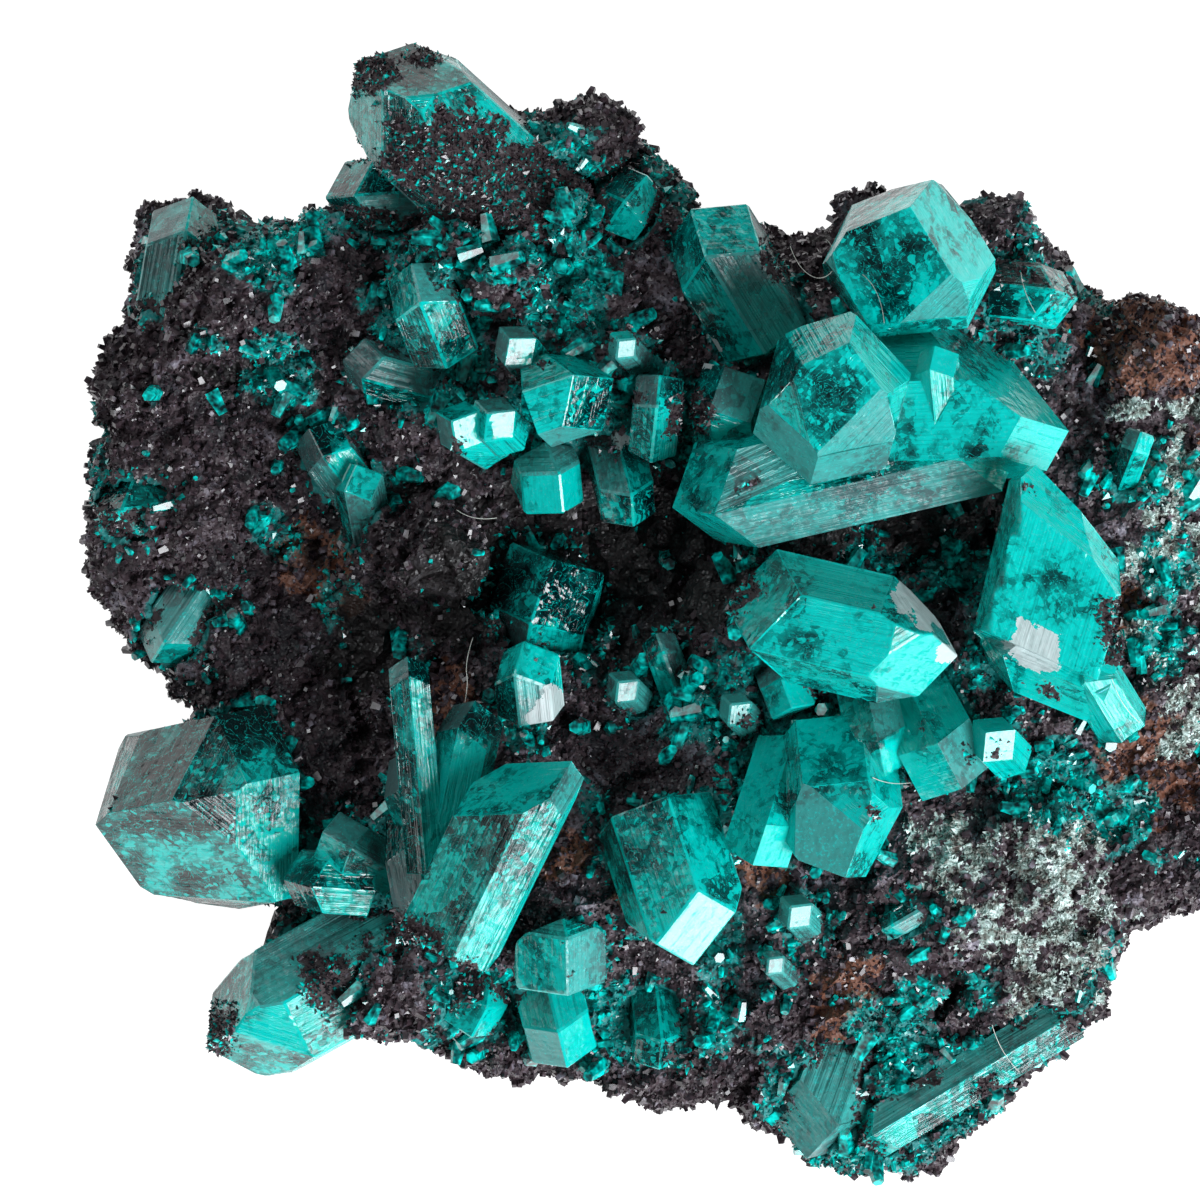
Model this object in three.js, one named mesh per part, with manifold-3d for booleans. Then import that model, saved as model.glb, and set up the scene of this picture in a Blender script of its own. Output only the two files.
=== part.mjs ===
// A dioptase specimen: blue-green trigonal crystals standing on a piece of dark, drusy matrix.
// Millimetres, +Z up. The specimen rests on the flat it was trimmed to, at z = 0, and its crystals face up.
import * as THREE from "three";
import { ConvexGeometry } from "three/addons/geometries/ConvexGeometry.js";
import { mergeVertices } from "three/addons/utils/BufferGeometryUtils.js";
import Module from "manifold-3d";

const wasm = await Module();
wasm.setup();

// Driving dimensions
const WIDEST_LEVEL = 4.5; // height at which the rock has its full outline
const FOOT_INSET = 2.2; // how far the trimmed foot stands in from the outline
const SHOULDER_INSET = 0.035; // how fast the sides lean in above the widest level, 1/mm
const ROCK_STEP = 2.6; // facet size of the rock
const ROCK_REACH = 38; // half the side of the box that the rock is sampled in
const ROCK_TOP = 22; // highest level sampled
const SPOT_SPREAD = 2.6; // how far the level of one spot height carries
const TOP_SLOPE = 0.8; // how fast the field grows above the upper surface: the usual slope of that surface
const LUMP_SIZE = 5.2; // wavelength of the rock's lumps
const LUMP_HEIGHT = 1.44;
const PIT_SIZE = 2.7; // wavelength of its pits and knobs
const PIT_DEPTH = 0.9;
const SOCKET_GAP = 0.3; // clearance between a crystal and the rock that holds it
const FOOT_CLEARANCE = 0.4; // the crystals end this far above the face that the specimen rests on
const CAP_TILT = 51; // dioptase: angle between the prism axis and the normal of a rhombohedral cap face
const TRIM_TILT = 70; // the same for the small faces between cap and prism
const DEGREE = Math.PI / 180;

// Outline of the rock seen from above, anticlockwise. Crystals reach past it on most sides.
const OUTLINE = [
  [-22.6, 19.2], [-23, 14.4], [-25.2, 12.4], [-25.4, 10.2], [-24.4, 8.8], [-25.2, 5.4], [-24.2, 1.2],
  [-23.4, -1.4], [-21.8, -3.2], [-19.6, -3.6], [-19.4, -6.2], [-19.8, -10], [-18.4, -13], [-17.4, -16.4],
  [-19.8, -18.2], [-19.6, -21.4], [-16, -22.8], [-12, -22.4], [-8.4, -22.8], [-6, -24], [-2.6, -24],
  [-0.6, -23.6], [1.2, -24.8], [3.6, -25.5], [7, -25], [8.8, -26.2], [9.8, -28], [13.4, -28.4],
  [17, -27.6], [20.4, -25.2], [23.6, -22.2], [24.8, -20], [24.6, -18], [26.2, -15.4], [30, -14.6],
  [33, -12.4], [34.6, -8.4], [34.8, -3], [34, 2.4], [33, 7.8], [31.4, 12.4], [29.4, 14.2],
  [27.6, 15.6], [25.4, 15.2], [23.4, 17.2], [20.6, 19.2], [18.8, 18.6], [15, 19.2], [10.4, 18],
  [8.4, 18.6], [4.4, 20.2], [2.2, 22.6], [0, 24], [-4, 24], [-9.4, 22.8], [-13.2, 20.6],
  [-13, 18.4], [-10.4, 17], [-14.4, 17], [-17.2, 18.4],
];

// Spot heights of the rock's upper surface, read like those on a map: x, y, height.
const SPOTS = [
  [-21, 17.5, 9], [-17.5, 15.5, 10.5], [-23.5, 11, 8], [-17, 10.5, 9.5], [-13.5, 13.5, 11],
  [-8.5, 14, 12.5], [-11, 20, 10.5], [-6, 20, 14], [-0.5, 22.5, 11.5], [-1, 18.5, 15.5],
  [2, 15, 15.5], [5, 18, 13], [5, 13.5, 14.5], [-4, 10, 13.5], [-2.2, 7, 14], [1, 8.5, 13.5], [-8, 6, 11],
  [-15, 7.5, 8], [-21, 5, 9], [-13.5, 1, 6.5], [-8.5, 1.5, 11], [-21, -1, 6], [-16, -4, 7.5],
  [-9.5, -4, 9], [-3, 4.6, 4.5], [2, 0.2, 3.5], [1, 3, 4.5], [-2.6, -1, 7], [5, 2, 13],
  [13, 6, 13.5], [12, -3, 15], [7.4, -1.4, 14.5], [8, 15, 12.5], [15, 16.2, 18], [17.5, 12.5, 14.5],
  [22, 14.5, 13.5], [27.5, 13, 8], [26.5, 6, 13], [29, 0, 12], [20, 0, 12], [15.5, 2.2, 7],
  [10, -5, 13], [17.5, -6, 13.5], [25, -9, 12.5], [-5, -8, 12], [1, -7.5, 12.5], [3, -4.5, 9.5],
  [5, -12, 12.5], [0, -14, 11.5], [-9, -15, 9], [-15, -17.5, 6], [-18.5, -12.5, 4.5],
  [-12.5, -9, 8], [-2, -20, 8], [5, -21.5, 8], [-4, -4.6, 14], [11.5, -17.5, 10.5],
  [17.5, -14, 12.5], [22.5, -16.5, 11], [12.5, -24, 7], [17, -22.6, 7], [20.5, -22.4, 5.5],
  [33, -5, 8], [27.5, -12, 9], [31, 6, 9],
];

// A crystal or a crusted block: its tip, the compass heading in which it points seen from above
// (0 along +X, 90 along +Y), how steeply it rises, its width across two prism faces and its length.
// turn spins it about its axis, sides scales the distance from tip to each of its six prism faces,
// caps moves its three cap faces out, trims is how far the corner between cap and prism is cut back over
// each prism face, ends is 2 where both ends carry cap faces, and cuts are broken or foreign faces, each
// a heading and rise of the face's normal and a point on it.
function crystal(tip, heading, rise, width, length, extras = {}) {
  const plain = { turn: 0, sides: [1, 1, 1, 1, 1, 1], caps: [0, 0, 0], trims: [], ends: 1, cuts: [] };
  return { tip, heading, rise, width, length, ...plain, ...extras };
}

// Dioptase crystals, one solid for each crystal or each group that has grown together.
const CRYSTALS = {
  lower_left_crystal: [
    crystal([-25.6, -10.9, 8.6], 192, 24, 10.2, 9.2, {
      sides: [0.72, 1, 1, 1.2, 1, 1],
      trims: [0.5, 0.9, 0.7, 1.2, 0.8, 1],
      cuts: [[150, 15, [-23.9, -7.6, 6]]],
    }),
  ],
  bottom_left_prism: [
    crystal([-19.8, -22.6, 5.4], 209, 6, 6.2, 12.3, { turn: -3, trims: [0.5, 0.3, 0.7, 0.4, 0.6, 0.4] }),
  ],
  centre_spray: [
    crystal([-1.4, -8, 18], 64, 15, 6, 11.2, { turn: 4, sides: [0.3, 0.72, 1, 1.35, 1, 0.6] }),
    crystal([-9.6, -2.8, 16], 95, 14, 2, 11),
    crystal([-6.2, -5, 15.5], 78, 22, 2.8, 8, { turn: 20 }),
    crystal([-9.8, -7.6, 13.5], 110, 30, 3, 6, { turn: 30 }),
    crystal([-9.2, -10, 12.5], 100, 20, 3.8, 7, { turn: 10 }),
  ],
  crown_crystals: [
    crystal([-12.1, 26.9, 15], 138, 14, 6.5, 13, { turn: 6, trims: [0.6, 0.4, 0.9, 0.5, 0.7, 0.5] }),
    crystal([-13.8, 20.1, 11.5], 184, 8, 3.6, 7),
  ],
  upper_right_crystal: [
    crystal([15.5, 19.2, 22.8], 96, 64, 7.4, 6, {
      turn: -30,
      sides: [0.82, 1, 1, 1.1, 1.1, 0.84],
      caps: [0, 0, 0.3],
      trims: [0.5, 0.4, 0.7, 0.3, 0.6, 0.4],
    }),
  ],
  right_group: [
    crystal([12.3, 12.7, 25.5], 75, 62, 6.8, 8, { turn: 60, trims: [0.9, 0.7, 1, 0.6, 0.9, 0.7] }),
    crystal([23.3, 8.4, 18], 2, 8, 7, 12, { turn: 14, sides: [0.5, 0.8, 1.3, 1.6, 1.2, 0.8] }),
    crystal([3.6, 4.6, 17], 193, 2, 5.2, 18, { turn: 16, ends: 2 }),
    crystal([16.6, 12.6, 21], 96, 28, 2, 6, { turn: 20 }),
    crystal([6.2, 11.6, 18], 96, 44, 3.4, 7, { turn: 30 }),
  ],
  middle_crystal: [
    crystal([17.8, -2.8, 18.2], -13, 6, 5.6, 12, {
      turn: 22,
      trims: [0.5, 0.4, 0.7, 0.4, 0.6, 0.5],
      ends: 2,
    }),
  ],
  right_crystals: [
    crystal([21.6, 6.7, 21], 77, 24, 6.4, 12, {
      turn: 40,
      sides: [1.6, 0.85, 0.25, 0.4, 1.2, 1.5],
      cuts: [[244, 58, [18.9, -0.2, 18.3]], [246, 12, [18.4, -1.2, 17.6]], [20, 36, [27.6, 2, 17]]],
    }),
    crystal([18.8, -1.4, 15.6], 158, 6, 4, 7, { turn: 20 }),
    crystal([23.8, -2.6, 16.8], 122, 30, 2.5, 5, { turn: 22 }),
  ],
  lower_middle_group: [
    crystal([12.2, -13.8, 18], -84, 38, 5.6, 8, { turn: 30, trims: [0.5, 0.6, 0.4, 0.7, 0.5, 0.6] }),
    crystal([7.6, -13.2, 17], -108, 36, 3.4, 7),
    crystal([14.2, -8.8, 16.2], -78, 30, 3, 5),
    crystal([18, -9.4, 17], -62, 40, 4, 7),
    crystal([19.2, -6.6, 17.4], 135, 66, 2.3, 4, { turn: 60 }),
  ],
  bright_faced_crystal: [
    crystal([5.3, -18.6, 15], -72, 13, 5.4, 8.6, { turn: 77, caps: [0.2, -0.9, 0] }),
  ],
  hollow_crystal: [crystal([-2.4, 2, 12], 80, 56, 5, 8, { turn: 10 })],
  striped_crystal: [crystal([-3.8, -2, 15], 96, 26, 3, 4, { turn: 22 })],
  upper_left_pair: [
    crystal([-7.4, 8.9, 17.2], 150, 66, 2.5, 5, { turn: 60 }),
    crystal([-5.6, 9.3, 17.5], 135, 69, 2.3, 3.8, { turn: 60 }),
  ],
  upper_ridge_crystal: [crystal([4.5, 19.5, 17], 122, 22, 4.6, 7.8, { turn: 15 })],
  upper_left_crystal: [crystal([-9.4, 16.8, 16], 112, 32, 3.4, 5.4, { turn: 10 })],
  far_left_crystal: [crystal([-20.4, 20.3, 9], 80, 14, 3.8, 6)],
  right_short_prism: [crystal([23.9, 15, 14.6], -6, 8, 3, 4.4, { turn: 10 })],
  lower_dark_crystal: [crystal([-1.6, -19.8, 13.4], -80, 36, 4.6, 3, { turn: 10 })],
  lower_bright_crystal: [crystal([-1.6, -23.5, 9.4], -76, 26, 3.4, 4.4)],
  bottom_crystals: [
    crystal([10.4, -28.1, 6.4], -110, 14, 4.6, 9, { turn: 20 }),
    crystal([12.9, -27.4, 6.8], 211, 1, 2.5, 12.6, { turn: -2 }),
  ],
  left_foot_crystals: [
    crystal([-15.9, -14, 9.6], 176, 18, 2.9, 4.4, { turn: 10 }),
    crystal([-13.9, -11.6, 10.8], 150, 40, 2.6, 5),
  ],
  upper_striped_crystals: [
    crystal([0.7, 11, 17], 18, 12, 4, 4.2, { turn: 20 }),
    crystal([-4.5, 13, 18], 130, 66, 2.1, 4, { turn: 60 }),
  ],
  upper_small_tile: [crystal([0.9, 12.9, 18.6], 135, 69, 1.5, 4, { turn: 60 })],
  pointed_crystal: [crystal([3, 11.2, 18], 84, 46, 2.4, 5)],
  hollow_roof_crystal: [crystal([-1.8, 4.3, 14], -66, 34, 3.2, 3.3, { turn: 20 })],
  hollow_roof_twin: [crystal([1.7, 3.6, 14], -76, 26, 2.8, 5, { turn: 10 })],
  hollow_edge_crystal: [crystal([2.8, -1.6, 12], 110, 30, 1.8, 3.6)],
  hollow_edge_tile: [crystal([0.9, -4.1, 13.6], 135, 69, 1.7, 3.4, { turn: 60 })],
  centre_tile: [crystal([6.5, -5.2, 15.6], 135, 69, 1.7, 4, { turn: 60 })],
  small_upright_crystal: [crystal([27, 8.4, 15.5], 70, 50, 1.5, 4)],
  left_wedge_crystal: [crystal([-22.6, -3.2, 6.4], 236, 8, 3, 6)],
  left_edge_crystal: [crystal([-25.4, 4.4, 8.6], 186, 16, 2.8, 5)],
  middle_small_crystal: [crystal([9.6, -5.4, 15.6], -70, 62, 2.4, 5)],
  low_prism: [crystal([14, -16.6, 12.8], 210, 10, 1.4, 4)],
  left_band_crystals: [
    crystal([-14.6, 8.6, 11], 128, 34, 2.6, 5, { turn: 12 }),
    crystal([-12.2, 6.8, 11.4], 100, 40, 2.2, 5, { turn: 40 }),
  ],
  ledge_crystal: [crystal([-12.9, 12, 13], 165, 24, 2.4, 5, { turn: 30 })],
  upper_edge_crystal: [crystal([2.4, 21.2, 14.8], 56, 36, 2.8, 3.2, { turn: 8 })],
  low_white_tile: [crystal([9.5, -15.3, 14], 135, 69, 1.8, 4, { turn: 60 })],
  lower_edge_crystal: [crystal([-6.45, -22, 8.8], -98, 30, 2.8, 4, { turn: 22 })],
  lower_edge_twin: [crystal([3, -23.6, 9], -84, 30, 2.4, 5, { turn: 12 })],
  low_small_tile: [crystal([8.4, -17.9, 12.9], 135, 66, 1.3, 3.4, { turn: 60 })],
};

// Crystals buried under the rock's own crust: blocks that stand out of it as lumps and ledges.
const CRUSTED = [
  crystal([-25.6, 10.6, 8], 184, 10, 5, 10, { turn: 10 }),
  crystal([-21.6, 13.6, 11.5], 200, 12, 4.8, 10, { turn: 10 }),
  crystal([-7.6, 3, 14], 60, 76, 4, 8, { turn: 10 }),
  crystal([-20.6, 19.6, 9], 100, 16, 4.4, 9, { turn: 20 }),
  crystal([1.8, 23.4, 13], 10, 8, 3, 9),
  crystal([20.6, 19.6, 13.5], 66, 30, 3, 8),
  crystal([-24, 4.2, 9], 176, 36, 6, 9),
  crystal([-6.4, 18.4, 16], 60, 50, 3.6, 8, { turn: 10 }),
  crystal([-3.4, 16.4, 17], 20, 60, 3.4, 8),
  crystal([-1.4, 19.8, 16], 80, 50, 3, 8, { turn: 20 }),
  crystal([16.2, 16.4, 18.4], 90, 80, 5.4, 11),
  crystal([29, 14.6, 12], 60, 24, 4.6, 9),
  crystal([23, -15, 14.5], -60, 50, 6, 9, { turn: 10 }),
  crystal([-12, -21.6, 7.6], -100, 30, 4, 8, { turn: 10 }),
  crystal([5.6, -24.8, 7.5], -80, 20, 4.6, 8),
];

// Small crusted blocks that stud the rock all over, laid out along a golden-angle spiral.
const STUDS = {
  count: 105,
  reach: 34,
  narrowest: 1.8,
  widest: 3.4,
  flattest: 30,
  steepest: 80,
  stand: 1.1,
  length: 6,
};

// Repeatable pseudo-random value of a lattice point, 0 to 1.
function latticeValue(i, j, k) {
  let h = (i * 374761393 + j * 668265263 + k * 2147483647) | 0;
  h = Math.imul(h ^ (h >>> 13), 1274126177);
  return ((h ^ (h >>> 16)) >>> 0) / 4294967295;
}

// Smooth noise of that wavelength, -1 to 1.
function noise(x, y, z, wavelength) {
  const [u, v, w] = [x / wavelength, y / wavelength, z / wavelength];
  const [i, j, k] = [Math.floor(u), Math.floor(v), Math.floor(w)];
  const ease = (t) => t * t * (3 - 2 * t);
  const [fu, fv, fw] = [ease(u - i), ease(v - j), ease(w - k)];
  const share = (far, t) => (far ? t : 1 - t);
  let sum = 0;
  for (const a of [0, 1])
    for (const b of [0, 1])
      for (const c of [0, 1])
        sum += latticeValue(i + a, j + b, k + c) * share(a, fu) * share(b, fv) * share(c, fw);
  return 2 * sum - 1;
}

// Distance from a point to the outline, negative inside.
function outlineDistance(x, y) {
  let nearest = Infinity;
  let inside = false;
  OUTLINE.forEach(([ax, ay], i) => {
    const [bx, by] = OUTLINE[(i + 1) % OUTLINE.length];
    const [ex, ey] = [bx - ax, by - ay];
    const t = THREE.MathUtils.clamp(((x - ax) * ex + (y - ay) * ey) / (ex * ex + ey * ey), 0, 1);
    nearest = Math.min(nearest, Math.hypot(x - ax - t * ex, y - ay - t * ey));
    if (ay > y !== by > y && x < ax + ((y - ay) / ey) * ex) inside = !inside;
  });
  return inside ? -nearest : nearest;
}

// Level of the rock's upper surface between the spot heights.
function surfaceLevel(x, y) {
  let weights = 0;
  let levels = 0;
  for (const [sx, sy, level] of SPOTS) {
    const weight = Math.exp(-((x - sx) ** 2 + (y - sy) ** 2) / (2 * SPOT_SPREAD ** 2)) + 1e-9;
    weights += weight;
    levels += weight * level;
  }
  return levels / weights;
}

// Signed field of the rock: negative inside it.
function rockField(x, y, z) {
  const below = Math.max(0, WIDEST_LEVEL - z) / WIDEST_LEVEL;
  const above = Math.max(0, z - WIDEST_LEVEL);
  const side = outlineDistance(x, y) + FOOT_INSET * below ** 2 + SHOULDER_INSET * above ** 2;
  const top = (z - surfaceLevel(x, y)) * TOP_SLOPE;
  const relief = LUMP_HEIGHT * noise(x, y, z, LUMP_SIZE) + PIT_DEPTH * noise(x, y, z, PIT_SIZE);
  return Math.max(side, top, -z - ROCK_STEP) + relief;
}

// The zero level of a field as a closed mesh: one vertex for each cell that the surface crosses.
function fieldSurface(field, step, low, high) {
  const size = low.map((a, axis) => Math.round((high[axis] - a) / step) + 1);
  const index = (i, j, k) => i + size[0] * (j + size[1] * k);
  const values = new Float64Array(size[0] * size[1] * size[2]);
  for (let k = 0; k < size[2]; k++)
    for (let j = 0; j < size[1]; j++)
      for (let i = 0; i < size[0]; i++)
        values[index(i, j, k)] = field(low[0] + i * step, low[1] + j * step, low[2] + k * step);
  fillDiagonals(values, size, index);

  const corners = [0, 1, 2, 3, 4, 5, 6, 7].map((c) => [c & 1, (c >> 1) & 1, c >> 2]);
  const stepsApart = (a, b) => a.reduce((sum, v, q) => sum + Math.abs(v - b[q]), 0);
  const edges = corners.flatMap((a, m) =>
    corners.slice(m + 1).filter((b) => stepsApart(a, b) === 1).map((b) => [a, b]),
  );
  const vertexOf = new Map();
  const positions = [];
  const cellVertex = (i, j, k) => {
    const key = index(i, j, k);
    if (!vertexOf.has(key)) {
      const sum = [0, 0, 0];
      let crossings = 0;
      for (const [a, b] of edges) {
        const va = values[index(i + a[0], j + a[1], k + a[2])];
        const vb = values[index(i + b[0], j + b[1], k + b[2])];
        if (va < 0 === vb < 0) continue;
        const t = va / (va - vb);
        a.forEach((v, q) => (sum[q] += v + t * (b[q] - v)));
        crossings++;
      }
      vertexOf.set(key, positions.length / 3);
      [i, j, k].forEach((v, q) => positions.push(low[q] + (v + sum[q] / crossings) * step));
    }
    return vertexOf.get(key);
  };

  const triangles = [];
  for (let k = 1; k < size[2] - 1; k++)
    for (let j = 1; j < size[1] - 1; j++)
      for (let i = 1; i < size[0] - 1; i++)
        for (const axis of [0, 1, 2]) {
          const next = [i, j, k];
          next[axis] += 1;
          const here = values[index(i, j, k)] < 0;
          if (here === values[index(...next)] < 0) continue;
          const [p, q] = [(axis + 1) % 3, (axis + 2) % 3];
          const ring = [[-1, -1], [0, -1], [0, 0], [-1, 0]].map(([a, b]) => {
            const cell = [i, j, k];
            cell[p] += a;
            cell[q] += b;
            return cellVertex(...cell);
          });
          if (!here) ring.reverse();
          triangles.push(ring[0], ring[1], ring[2], ring[0], ring[2], ring[3]);
        }
  return solidOf(positions, triangles);
}

// Fills outside points until no two inside points touch only across a diagonal:
// the surface then pinches nowhere.
function fillDiagonals(values, size, index) {
  const FILLED = -0.05;
  let changed = true;
  while (changed) {
    changed = false;
    for (let k = 0; k < size[2] - 1; k++)
      for (let j = 0; j < size[1] - 1; j++)
        for (let i = 0; i < size[0] - 1; i++)
          for (const [a, b] of [[[1, 0, 0], [0, 1, 0]], [[1, 0, 0], [0, 0, 1]], [[0, 1, 0], [0, 0, 1]]]) {
            const square = [
              index(i, j, k),
              index(i + a[0], j + a[1], k + a[2]),
              index(i + a[0] + b[0], j + a[1] + b[1], k + a[2] + b[2]),
              index(i + b[0], j + b[1], k + b[2]),
            ];
            const [s0, s1, s2, s3] = square.map((s) => values[s] < 0);
            if (s0 !== s2 || s1 !== s3 || s0 === s1) continue;
            values[s0 ? square[1] : square[0]] = FILLED;
            changed = true;
          }
  }
}

function solidOf(positions, triangles) {
  return new wasm.Manifold(
    new wasm.Mesh({
      numProp: 3,
      vertProperties: new Float32Array(positions),
      triVerts: new Uint32Array(triangles),
    }),
  );
}

function solidOfGeometry(geometry) {
  geometry.deleteAttribute("normal");
  geometry.deleteAttribute("uv");
  const merged = mergeVertices(geometry, 1e-4);
  return solidOf(merged.attributes.position.array, merged.index.array);
}

function direction(heading, rise) {
  const [h, r] = [heading * DEGREE, rise * DEGREE];
  return new THREE.Vector3(Math.cos(r) * Math.cos(h), Math.cos(r) * Math.sin(h), Math.sin(r));
}

// The bounding planes of a crystal: six prism faces, three rhombohedral cap faces, its root and any cuts.
function crystalPlanes({ tip, heading, rise, width, length, turn, sides, caps, trims, ends, cuts }) {
  const axis = direction(heading, rise);
  const side = direction(heading - 90, 0);
  const upper = new THREE.Vector3().crossVectors(side, axis);
  const around = (degrees) => {
    const [across, up] = [Math.cos(degrees * DEGREE), Math.sin(degrees * DEGREE)];
    return side.clone().multiplyScalar(across).addScaledVector(upper, up);
  };
  const point = new THREE.Vector3(...tip);
  const root = point.clone().addScaledVector(axis, -length);
  const planes = sides.map((scale, k) => {
    const normal = around(turn + 60 * k);
    return [normal, normal.dot(point) + (width / 2) * scale];
  });
  caps.forEach((shift, k) => {
    const normal = around(turn + 30 + 120 * k).multiplyScalar(Math.sin(CAP_TILT * DEGREE));
    normal.addScaledVector(axis, Math.cos(CAP_TILT * DEGREE));
    planes.push([normal, normal.dot(point) + shift]);
    const opposite = normal.clone().negate();
    if (ends === 2) planes.push([opposite, opposite.dot(root)]);
  });
  // The highest corners of an untrimmed cap lie over the prism's edges, between two of its faces.
  const [tiltSine, tiltCosine] = [Math.sin(TRIM_TILT * DEGREE), Math.cos(TRIM_TILT * DEGREE)];
  const drop = Math.tan(CAP_TILT * DEGREE) / (2 * Math.cos(30 * DEGREE));
  trims.forEach((trim, k) => {
    const normal = around(turn + 60 * k).multiplyScalar(tiltSine).addScaledVector(axis, tiltCosine);
    const corner = (width / 2) * sides[k] * (tiltSine - tiltCosine * drop);
    planes.push([normal, normal.dot(point) + corner - trim]);
  });
  if (ends === 1) planes.push([axis.clone().negate(), -axis.dot(root)]);
  for (const [cutHeading, cutRise, through] of cuts) {
    const normal = direction(cutHeading, cutRise);
    planes.push([normal, normal.dot(new THREE.Vector3(...through))]);
  }
  return planes;
}

// The convex solid that a set of planes bounds, each plane moved out by grow.
function convexSolid(planes, grow = 0) {
  const points = [];
  const n = planes.length;
  for (let a = 0; a < n; a++)
    for (let b = a + 1; b < n; b++)
      for (let c = b + 1; c < n; c++) {
        const rows = [planes[a], planes[b], planes[c]].map(([normal]) => normal);
        const matrix = new THREE.Matrix3().set(...rows.flatMap((v) => v.toArray()));
        if (Math.abs(matrix.determinant()) < 1e-3) continue;
        const point = new THREE.Vector3(planes[a][1] + grow, planes[b][1] + grow, planes[c][1] + grow);
        point.applyMatrix3(matrix.invert());
        const inside = planes.every(([normal, reach]) => normal.dot(point) <= reach + grow + 1e-6);
        if (inside && !points.some((p) => p.distanceTo(point) < 1e-4)) points.push(point);
      }
  return solidOfGeometry(new ConvexGeometry(points));
}

function joined(crystals, grow = 0) {
  const solid = crystals.map((c) => convexSolid(crystalPlanes(c), grow)).reduce((all, one) => all.add(one));
  return aboveLevel(solid, FOOT_CLEARANCE - grow);
}

function meshOf(name, solid, material) {
  const { numProp, vertProperties, triVerts } = solid.getMesh();
  const positions = new Float32Array((vertProperties.length / numProp) * 3);
  for (let i = 0; i < positions.length / 3; i++)
    positions.set(vertProperties.subarray(i * numProp, i * numProp + 3), i * 3);
  const geometry = new THREE.BufferGeometry();
  geometry.setAttribute("position", new THREE.BufferAttribute(positions, 3));
  geometry.setIndex(new THREE.BufferAttribute(triVerts, 1));
  const mesh = new THREE.Mesh(geometry, material);
  mesh.name = name;
  return mesh;
}

// The small crusted blocks, each standing a little out of the rock where it is.
function studs() {
  const goldenAngle = 137.508;
  const list = [];
  for (let n = 0; n < STUDS.count; n++) {
    const radius = STUDS.reach * Math.sqrt((n + 0.5) / STUDS.count);
    const [x, y] = direction(n * goldenAngle, 0).multiplyScalar(radius).toArray();
    const inset = -outlineDistance(x, y);
    if (inset < STUDS.widest / 2) continue;
    const chance = [1, 2, 3].map((salt) => latticeValue(n, salt, 7));
    const width = STUDS.narrowest + (STUDS.widest - STUDS.narrowest) * chance[0];
    const tip = [x, y, surfaceLevel(x, y) + STUDS.stand * chance[2]];
    const heading = 360 * chance[1];
    const rise = STUDS.flattest + (STUDS.steepest - STUDS.flattest) * chance[2];
    list.push(crystal(tip, heading, rise, width, STUDS.length, { turn: 60 * chance[0] }));
  }
  return list;
}

function makeRock() {
  const low = [-ROCK_REACH, -ROCK_REACH, -4 * ROCK_STEP];
  const high = [ROCK_REACH, ROCK_REACH, ROCK_TOP];
  let rock = fieldSurface(rockField, ROCK_STEP, low, high);
  for (const block of [...CRUSTED, ...studs()]) rock = rock.add(convexSolid(crystalPlanes(block)));
  rock = aboveLevel(rock, 0);
  for (const crystals of Object.values(CRYSTALS)) rock = rock.subtract(joined(crystals, SOCKET_GAP));
  return rock.decompose().sort((a, b) => b.volume() - a.volume())[0];
}

// What is left of a solid above a level: the specimen was trimmed flat below.
function aboveLevel(solid, level) {
  const size = 4 * ROCK_REACH;
  const floor = new THREE.BoxGeometry(size, size, size).translate(0, 0, level - size / 2);
  return solid.subtract(solidOfGeometry(floor));
}

const matrixMaterial = new THREE.MeshStandardMaterial({ color: 0x2e2422, roughness: 0.8, metalness: 0 });
const dioptaseMaterial = new THREE.MeshStandardMaterial({ color: 0x0a8f80, roughness: 0.15, metalness: 0 });

const specimen = new THREE.Group();
specimen.add(meshOf("matrix", makeRock(), matrixMaterial));
for (const [name, crystals] of Object.entries(CRYSTALS))
  specimen.add(meshOf(name, joined(crystals), dioptaseMaterial));

// The origin is the middle of the foot, under the middle of the specimen's bounding box.
const box = new THREE.Box3().setFromObject(specimen);
const middle = box.getCenter(new THREE.Vector3());
specimen.children.forEach((mesh) => mesh.position.set(-middle.x, -middle.y, 0));

export default specimen;
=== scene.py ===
"""The looks of a dioptase specimen: blue-green crystals on a dark, drusy matrix. Metres, +Z up."""
import itertools
import math

import bmesh
import bpy
import numpy as np
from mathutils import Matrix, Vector
from mathutils.bvhtree import BVHTree


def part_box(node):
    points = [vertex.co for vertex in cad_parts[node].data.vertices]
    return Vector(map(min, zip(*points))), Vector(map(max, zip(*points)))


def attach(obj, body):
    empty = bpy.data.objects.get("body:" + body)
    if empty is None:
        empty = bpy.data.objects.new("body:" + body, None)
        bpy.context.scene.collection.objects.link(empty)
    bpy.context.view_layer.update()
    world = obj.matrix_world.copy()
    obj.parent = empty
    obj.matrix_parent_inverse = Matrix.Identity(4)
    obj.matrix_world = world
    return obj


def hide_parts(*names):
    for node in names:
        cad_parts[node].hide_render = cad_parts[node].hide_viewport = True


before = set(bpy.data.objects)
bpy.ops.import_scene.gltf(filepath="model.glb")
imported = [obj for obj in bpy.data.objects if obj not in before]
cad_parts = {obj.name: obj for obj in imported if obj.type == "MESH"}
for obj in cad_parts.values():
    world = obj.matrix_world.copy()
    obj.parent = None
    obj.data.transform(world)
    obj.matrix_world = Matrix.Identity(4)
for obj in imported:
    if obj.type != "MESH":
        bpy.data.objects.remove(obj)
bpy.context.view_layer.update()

bl_info = {
    "name": "Dioptase Specimen",
    "version": (1, 0, 0),
    "blender": (4, 5, 0),
    "location": "3D View > Sidebar > Dioptase",
    "description": "Builds dioptase crystals, their drusy matrix and a plain studio",
    "category": "Object",
}

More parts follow.
